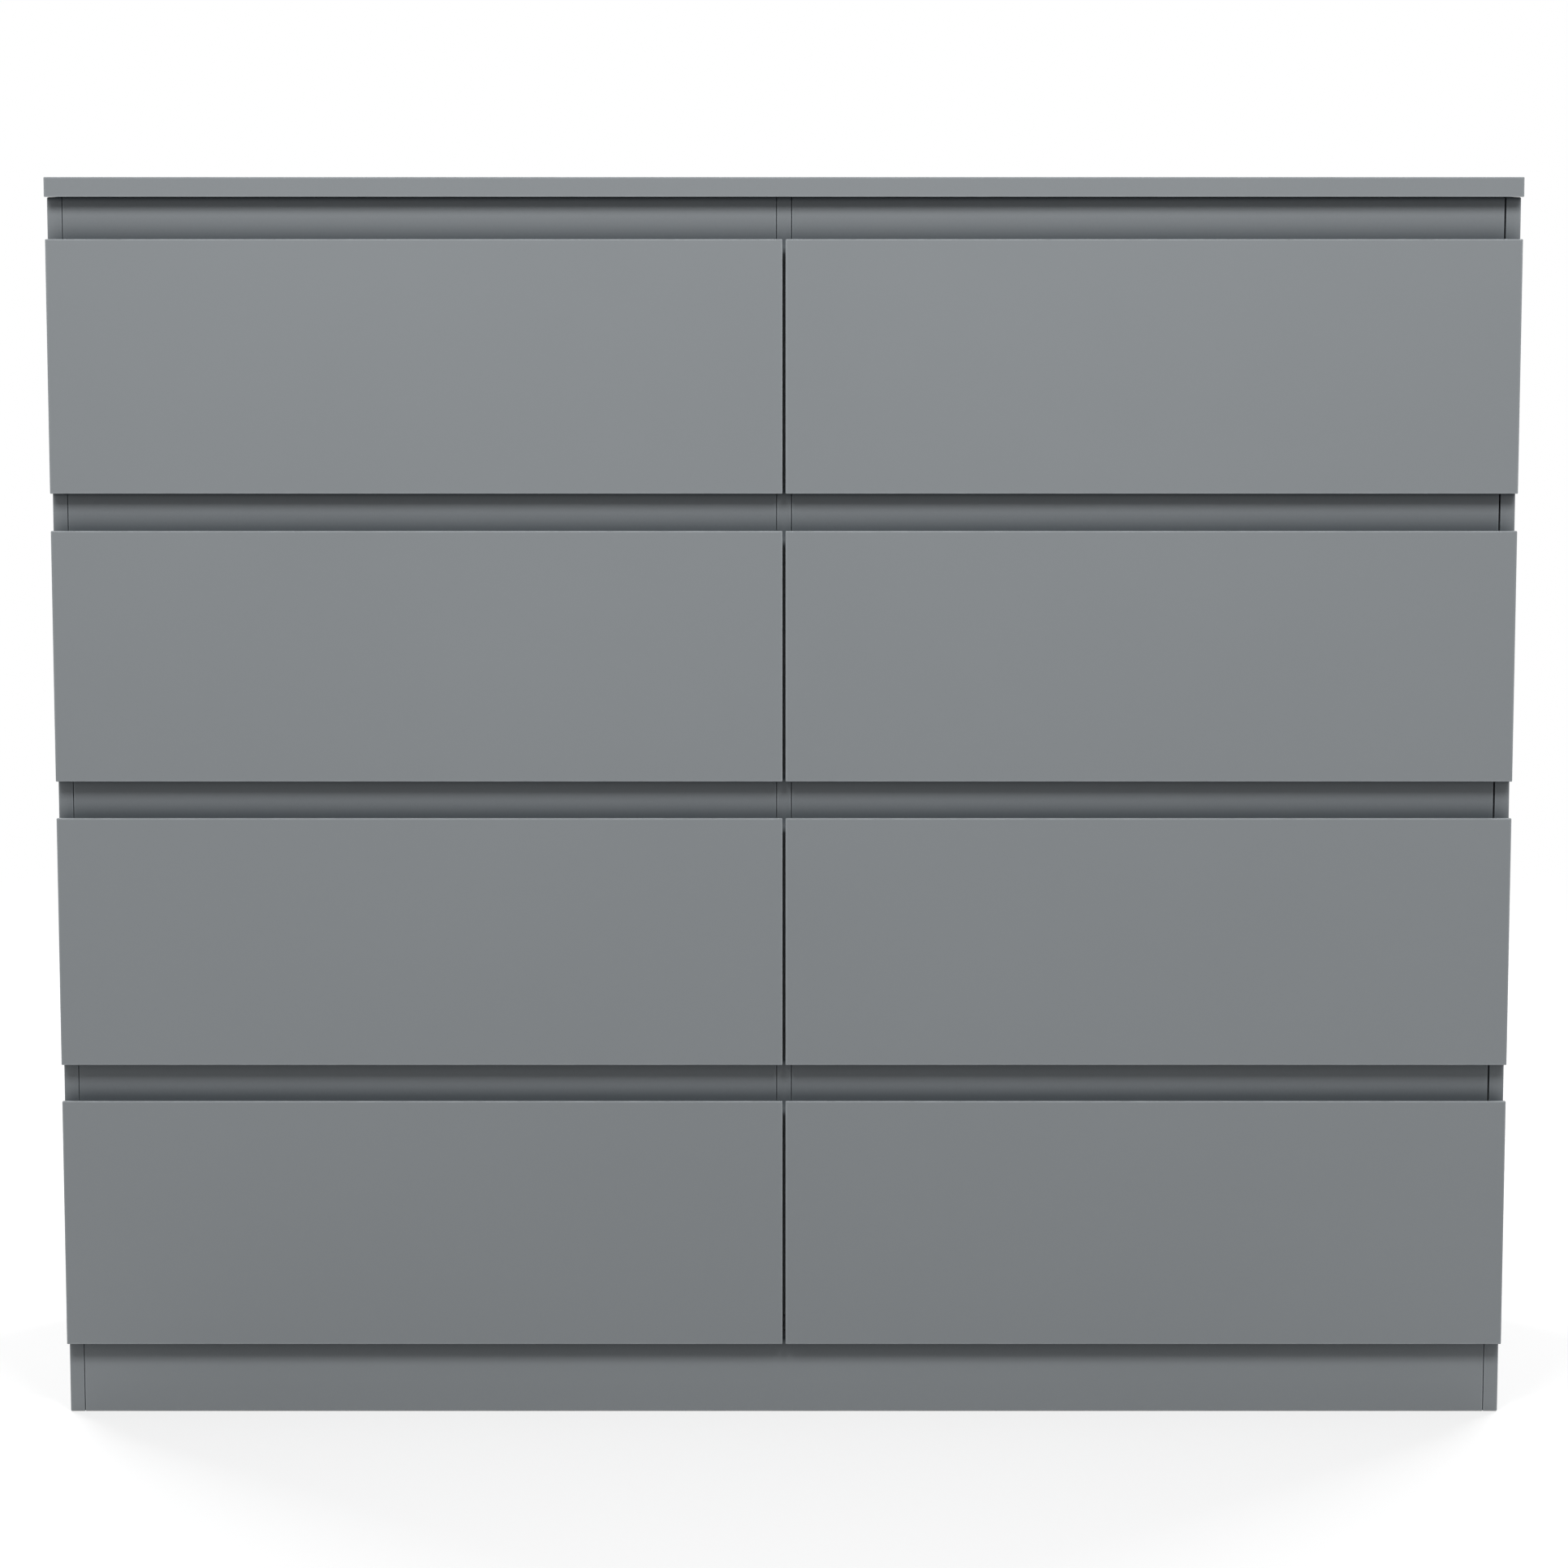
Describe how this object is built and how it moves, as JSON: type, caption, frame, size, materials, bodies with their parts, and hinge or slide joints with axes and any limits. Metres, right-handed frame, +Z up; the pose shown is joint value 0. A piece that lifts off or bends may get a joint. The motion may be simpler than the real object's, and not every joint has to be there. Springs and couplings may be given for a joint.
{
  "type": "dresser with drawers",
  "caption": "Wide free-standing dresser in matt grey board, with handleless slab-front drawers that slide on side runners and a flat rail recessed between the rows.",
  "frame": {"origin": "on the floor, under the middle of the dresser's outline", "axes": "+Z up, -Y towards a person in front, +X to their right, so the drawers open along -Y"},
  "size_m": [1.2, 0.4, 1.03],
  "materials": {
    "grey_board": "matt grey foil",
    "drawer_foil": "satin white foil",
    "hardboard": "matt",
    "runner_plastic": "satin"
  },
  "bodies": {
    "carcass": {"top_panel": "grey_board", "side_panel_left": "grey_board", "side_panel_right": "grey_board", "centre_divider": "grey_board", "bottom_panel": "grey_board", "plinth_front": "grey_board", "plinth_rear": "grey_board", "plinth_support": "grey_board", "back_panel_left": "hardboard", "back_panel_right": "hardboard", "front_rail_1_left": "grey_board", "front_rail_1_right": "grey_board", "front_rail_2_left": "grey_board", "front_rail_2_right": "grey_board", "front_rail_3_left": "grey_board", "front_rail_3_right": "grey_board", "front_rail_4_left": "grey_board", "front_rail_4_right": "grey_board", "runner_1_left_left": "runner_plastic", "runner_1_left_right": "runner_plastic", "runner_1_right_left": "runner_plastic", "runner_1_right_right": "runner_plastic", "runner_2_left_left": "runner_plastic", "runner_2_left_right": "runner_plastic", "runner_2_right_left": "runner_plastic", "runner_2_right_right": "runner_plastic", "runner_3_left_left": "runner_plastic", "runner_3_left_right": "runner_plastic", "runner_3_right_left": "runner_plastic", "runner_3_right_right": "runner_plastic", "runner_4_left_left": "runner_plastic", "runner_4_left_right": "runner_plastic", "runner_4_right_left": "runner_plastic", "runner_4_right_right": "runner_plastic"},
    "drawer_1_left": {"drawer_1_left_front": "grey_board", "drawer_1_left_box": "drawer_foil", "drawer_1_left_bottom": "hardboard"},
    "drawer_1_right": {"drawer_1_right_front": "grey_board", "drawer_1_right_box": "drawer_foil", "drawer_1_right_bottom": "hardboard"},
    "drawer_2_left": {"drawer_2_left_front": "grey_board", "drawer_2_left_box": "drawer_foil", "drawer_2_left_bottom": "hardboard"},
    "drawer_2_right": {"drawer_2_right_front": "grey_board", "drawer_2_right_box": "drawer_foil", "drawer_2_right_bottom": "hardboard"},
    "drawer_3_left": {"drawer_3_left_front": "grey_board", "drawer_3_left_box": "drawer_foil", "drawer_3_left_bottom": "hardboard"},
    "drawer_3_right": {"drawer_3_right_front": "grey_board", "drawer_3_right_box": "drawer_foil", "drawer_3_right_bottom": "hardboard"},
    "drawer_4_left": {"drawer_4_left_front": "grey_board", "drawer_4_left_box": "drawer_foil", "drawer_4_left_bottom": "hardboard"},
    "drawer_4_right": {"drawer_4_right_front": "grey_board", "drawer_4_right_box": "drawer_foil", "drawer_4_right_bottom": "hardboard"}
  },
  "joints": [
    {"name": "drawer_1_left_slide", "type": "slide", "parent": "carcass", "child": "drawer_1_left", "axis": [0, -1, 0], "range_m": [0, 0.25]},
    {"name": "drawer_1_right_slide", "type": "slide", "parent": "carcass", "child": "drawer_1_right", "axis": [0, -1, 0], "range_m": [0, 0.25]},
    {"name": "drawer_2_left_slide", "type": "slide", "parent": "carcass", "child": "drawer_2_left", "axis": [0, -1, 0], "range_m": [0, 0.25]},
    {"name": "drawer_2_right_slide", "type": "slide", "parent": "carcass", "child": "drawer_2_right", "axis": [0, -1, 0], "range_m": [0, 0.25]},
    {"name": "drawer_3_left_slide", "type": "slide", "parent": "carcass", "child": "drawer_3_left", "axis": [0, -1, 0], "range_m": [0, 0.25]},
    {"name": "drawer_3_right_slide", "type": "slide", "parent": "carcass", "child": "drawer_3_right", "axis": [0, -1, 0], "range_m": [0, 0.25]},
    {"name": "drawer_4_left_slide", "type": "slide", "parent": "carcass", "child": "drawer_4_left", "axis": [0, -1, 0], "range_m": [0, 0.25]},
    {"name": "drawer_4_right_slide", "type": "slide", "parent": "carcass", "child": "drawer_4_right", "axis": [0, -1, 0], "range_m": [0, 0.25]}
  ]
}
